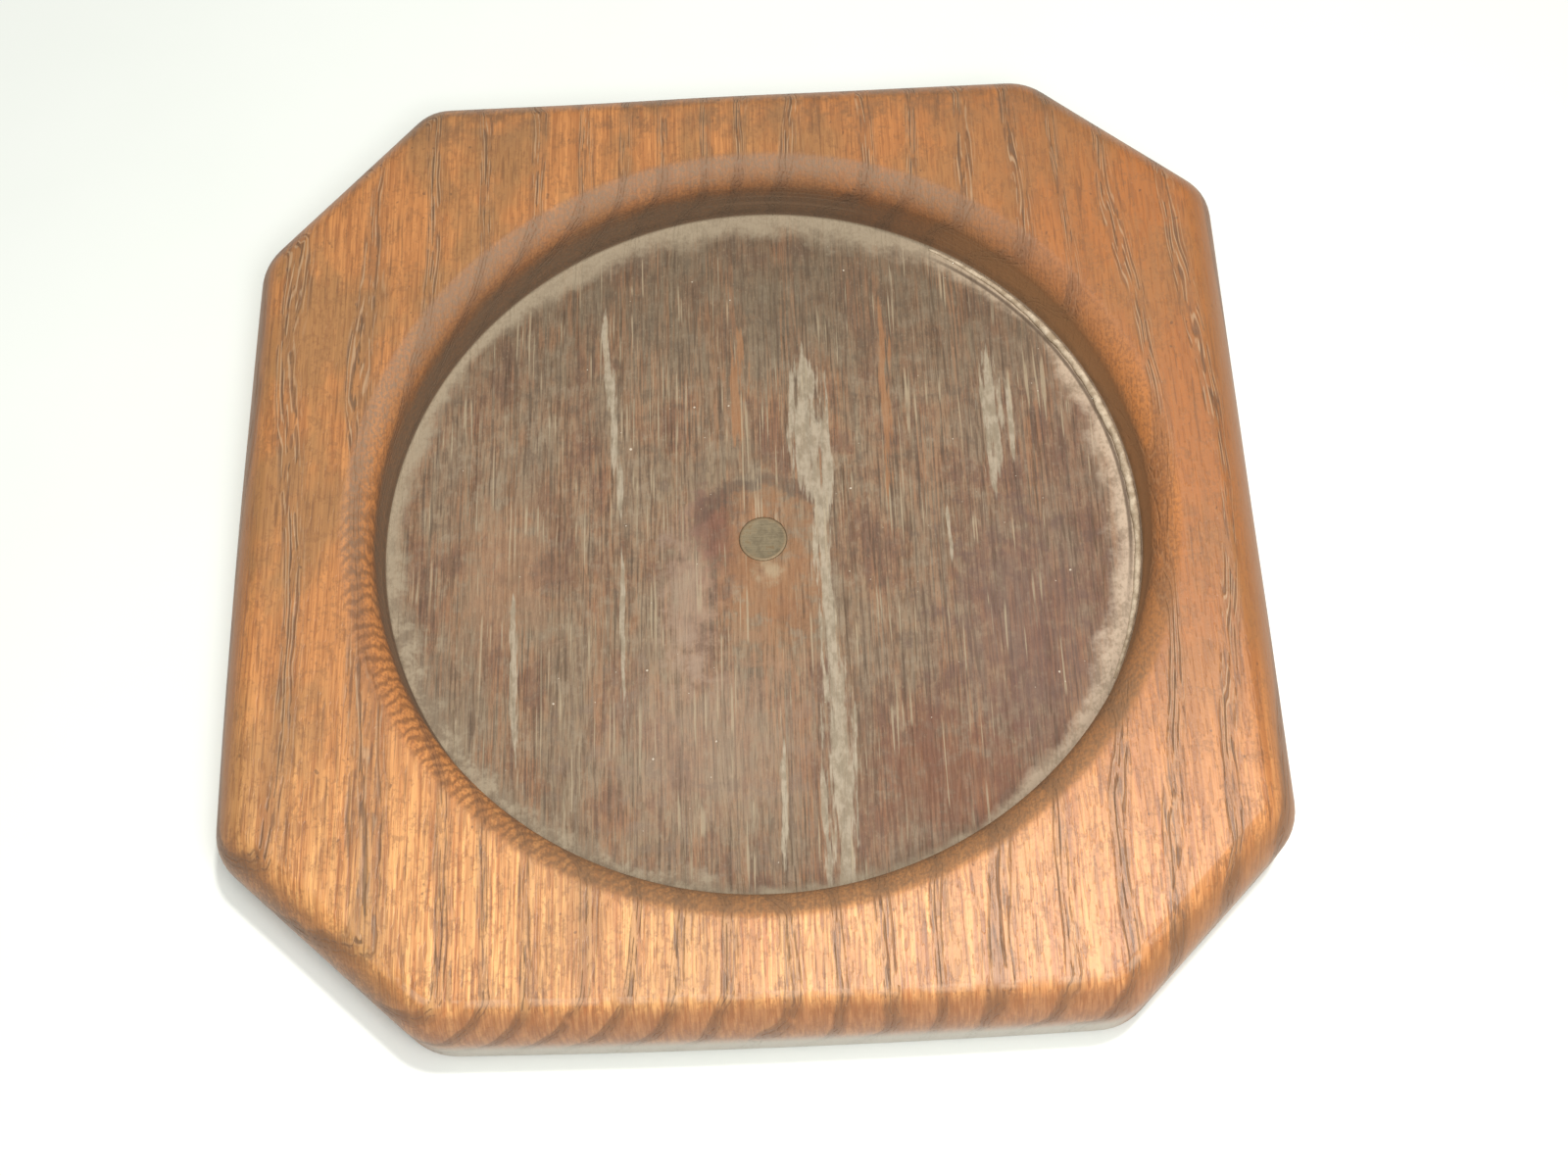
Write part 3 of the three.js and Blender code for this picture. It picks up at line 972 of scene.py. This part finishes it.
CAMERA_PLACE = Vector((10.3, -112.1, 246.0)) * MM
CAMERA_AIM = Vector((5.2, -6.2, 0.0)) * MM
CAMERA_ROLL = math.radians(-5.12)
SENSOR_WIDTH = 36.0  # millimetres, as the lens is
LENS = 44.04

ROOM_TINT = (0.97, 1.0, 0.96, 1.0)
ROOM_BRIGHTNESS = 0.30

# Light panels: name, place and width in metres, brightness and colour. Each is square.
PANELS = [
    ("overhead_panel", (0.028, -0.024, 0.60), 0.30, 3.2, (1.0, 0.99, 0.97)),
    ("right_panel", (0.12, 0.05, 0.62), 0.04, 345.0, (1.0, 0.99, 0.95)),
    ("near_panel", (0.05, -0.14, 0.27), 0.10, 13.5, (1.0, 1.0, 1.0)),
]


def add_camera():
    """Looks steeply down from in front of the plaque, turned a little to the left."""
    data = bpy.data.cameras.new("camera")
    data.sensor_width = SENSOR_WIDTH
    data.lens = LENS
    data.clip_start = 0.01
    camera = bpy.data.objects.new("camera", data)
    facing = (CAMERA_AIM - CAMERA_PLACE).to_track_quat("-Z", "Y").to_matrix()
    turned = facing @ Matrix.Rotation(CAMERA_ROLL, 3, "Z")
    camera.matrix_world = Matrix.Translation(CAMERA_PLACE) @ turned.to_4x4()
    bpy.context.scene.collection.objects.link(camera)
    bpy.context.scene.camera = camera


def add_panel(name, place, width, brightness, colour):
    """A square light that faces the plaque. A white sheet close to it would show its brightness."""
    data = bpy.data.lights.new(name, "AREA")
    data.shape = "RECTANGLE"
    data.size = width
    data.size_y = width
    data.energy = brightness * math.pi * width ** 2
    data.color = colour
    panel = bpy.data.objects.new(name, data)
    panel.visible_camera = False
    turned = (-Vector(place)).to_track_quat("-Z", "Y").to_matrix()
    panel.matrix_world = Matrix.Translation(place) @ turned.to_4x4()
    bpy.context.scene.collection.objects.link(panel)


def add_light():
    """A pale room, a soft panel overhead, a small strong one to the right and one in front."""
    world = bpy.data.worlds.new("pale_room")
    world.use_nodes = True
    background = world.node_tree.nodes["Background"]
    background.inputs["Color"].default_value = ROOM_TINT
    background.inputs["Strength"].default_value = ROOM_BRIGHTNESS
    bpy.context.scene.world = world
    for panel in PANELS:
        add_panel(*panel)


# ---------------------------------------------------------------- putting it together

wood = wood_material()
board = add_piece("plaque_board", board_rings(), wood)
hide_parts("board")
plug = add_piece("flush_plug", plug_rings(), metal_material())
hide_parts("centre_plug")
ridge = add_piece("glue_ridge", glue_rings(), glue_material())
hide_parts("glue_bead")

add_table()
add_camera()
add_light()
bpy.context.scene.view_settings.view_transform = "Standard"
